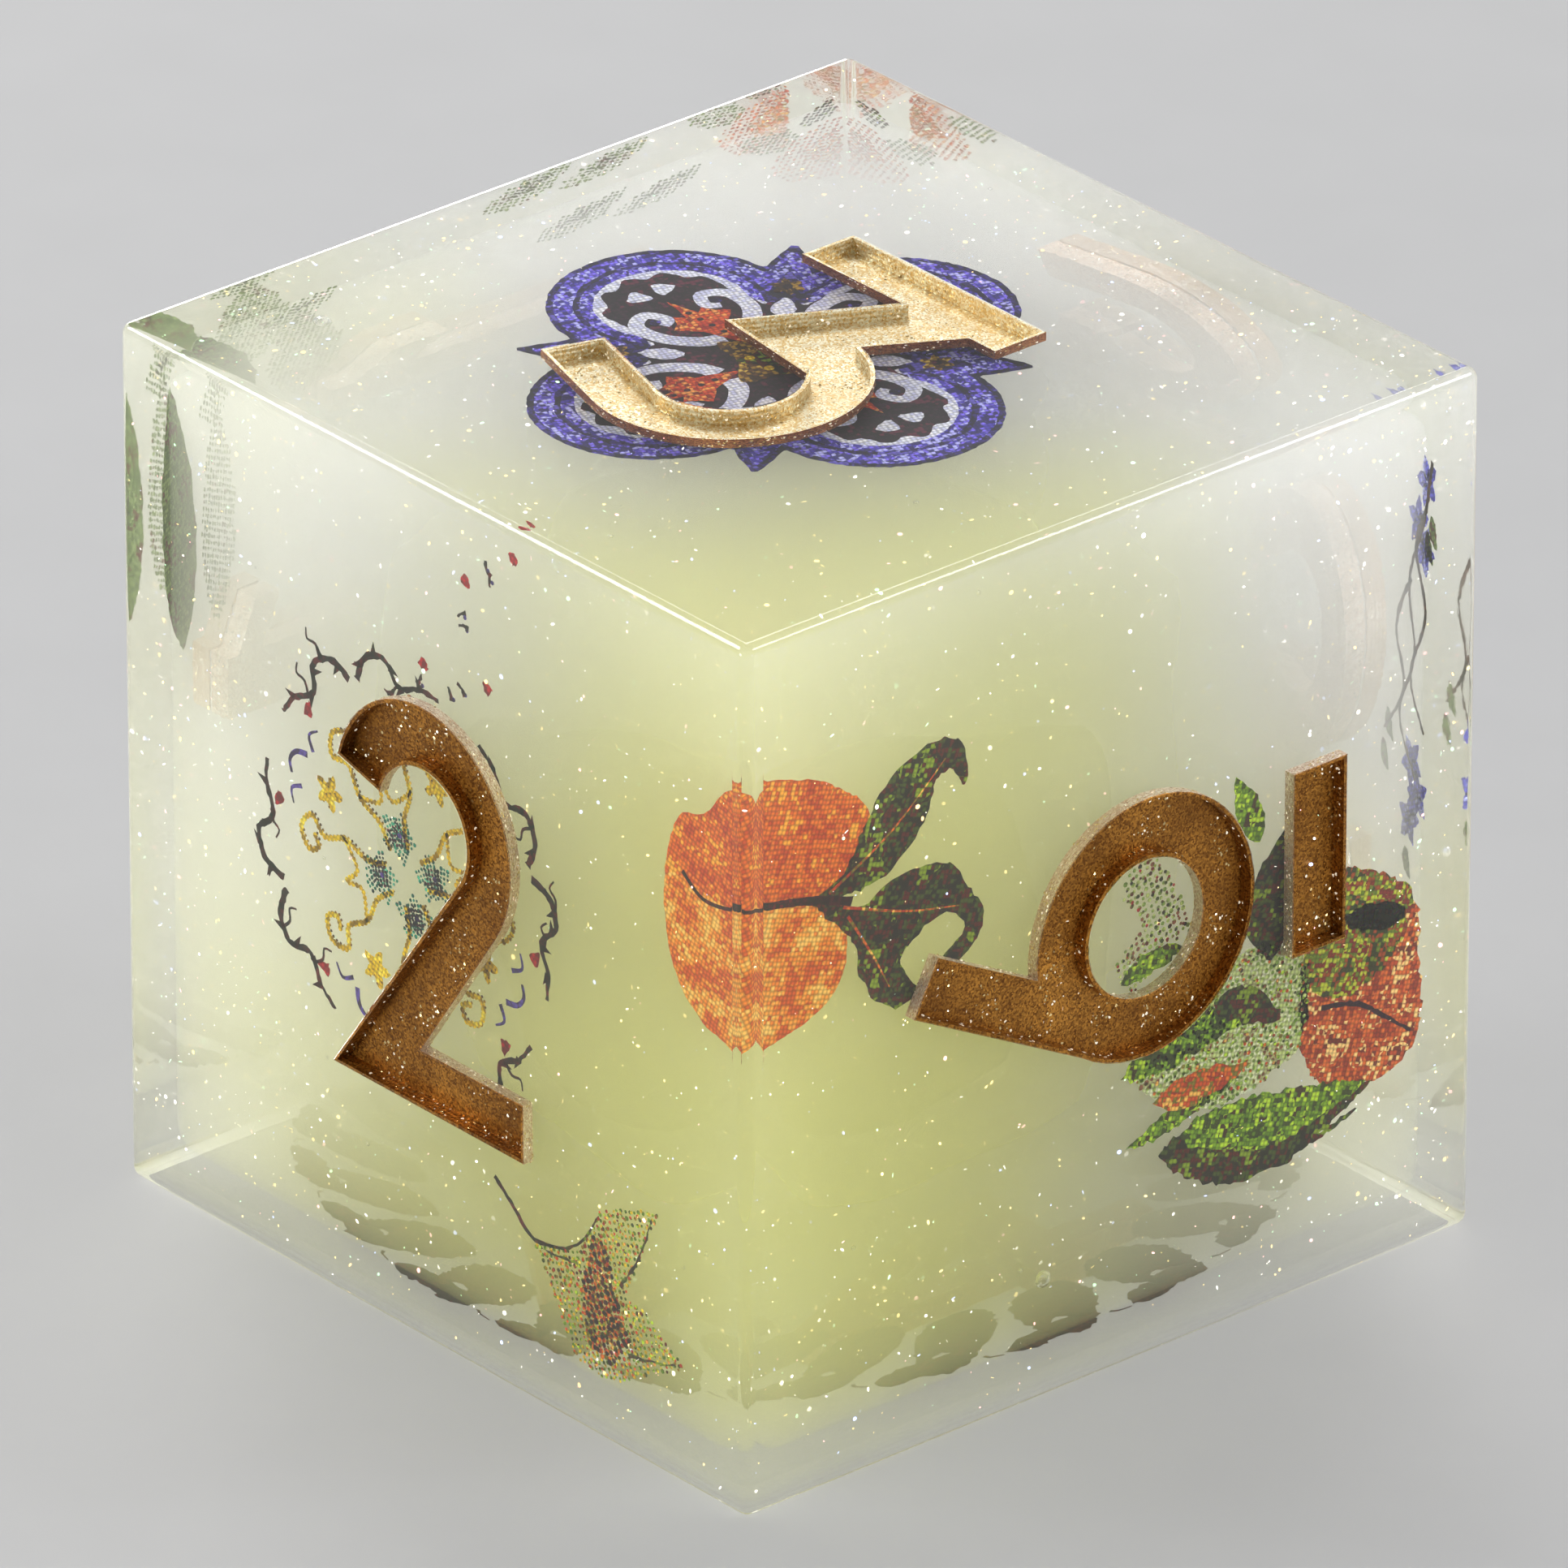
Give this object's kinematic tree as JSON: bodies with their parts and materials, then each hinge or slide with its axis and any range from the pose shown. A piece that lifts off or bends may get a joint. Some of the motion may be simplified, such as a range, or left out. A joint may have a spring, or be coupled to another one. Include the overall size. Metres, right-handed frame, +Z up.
{
  "type": "six-sided die",
  "caption": "Clear cast resin cube die with a swirled tinted core, printed flower decals inside and recessed numerals lined with gold mica paint.",
  "frame": {"origin": "centre of the bottom face, the one with the 4", "axes": "+Z up through the 3, -Y out of the 2, +Y out of the 5, +X out of the 6, -X out of the 1"},
  "size_m": [0.016, 0.016, 0.016],
  "materials": {
    "clear_resin": "hand-polished clear cast resin, faintly milky",
    "yellow_resin": "translucent yellow-green cast resin",
    "pearl_resin": "translucent bluish-white pearly cast resin",
    "mica_paint": "gold-bronze mica paint, sparkling",
    "blue_film": "halftone printed decal film, blue-violet and white",
    "vine_film": "halftone printed decal film, thorny vines and gold scrolls",
    "petal_film": "printed decal film, dark red",
    "sprig_film": "halftone printed decal film, speckled",
    "peach_film": "halftone printed decal film, orange and dark green",
    "rose_film": "halftone printed decal film, orange-red and green",
    "branch_film": "halftone printed decal film, brown and blue-violet",
    "corner_rose_film": "halftone printed decal film, red and green",
    "leaf_film": "halftone printed decal film, green",
    "red_film": "halftone printed decal film, dark red and black",
    "glitter": "iridescent polyester glitter flakes"
  },
  "bodies": {
    "root": {"base_pour": "clear_resin", "over_pour": "clear_resin", "yellow_core": "yellow_resin", "pearl_core": "pearl_resin", "numeral_1": "mica_paint", "numeral_2": "mica_paint", "numeral_3": "mica_paint", "numeral_4": "mica_paint", "numeral_5": "mica_paint", "numeral_6": "mica_paint", "underline_6": "mica_paint", "medallion_3": "blue_film", "vine_medallion_2": "vine_film", "petal_trail_2": "petal_film", "sprig_2": "sprig_film", "peach_corner": "peach_film", "rose_6": "rose_film", "branch_5": "branch_film", "corner_rose": "corner_rose_film", "leaves_1": "leaf_film", "medallion_4": "red_film", "glitter_flakes": "glitter"}
  },
  "joints": []
}
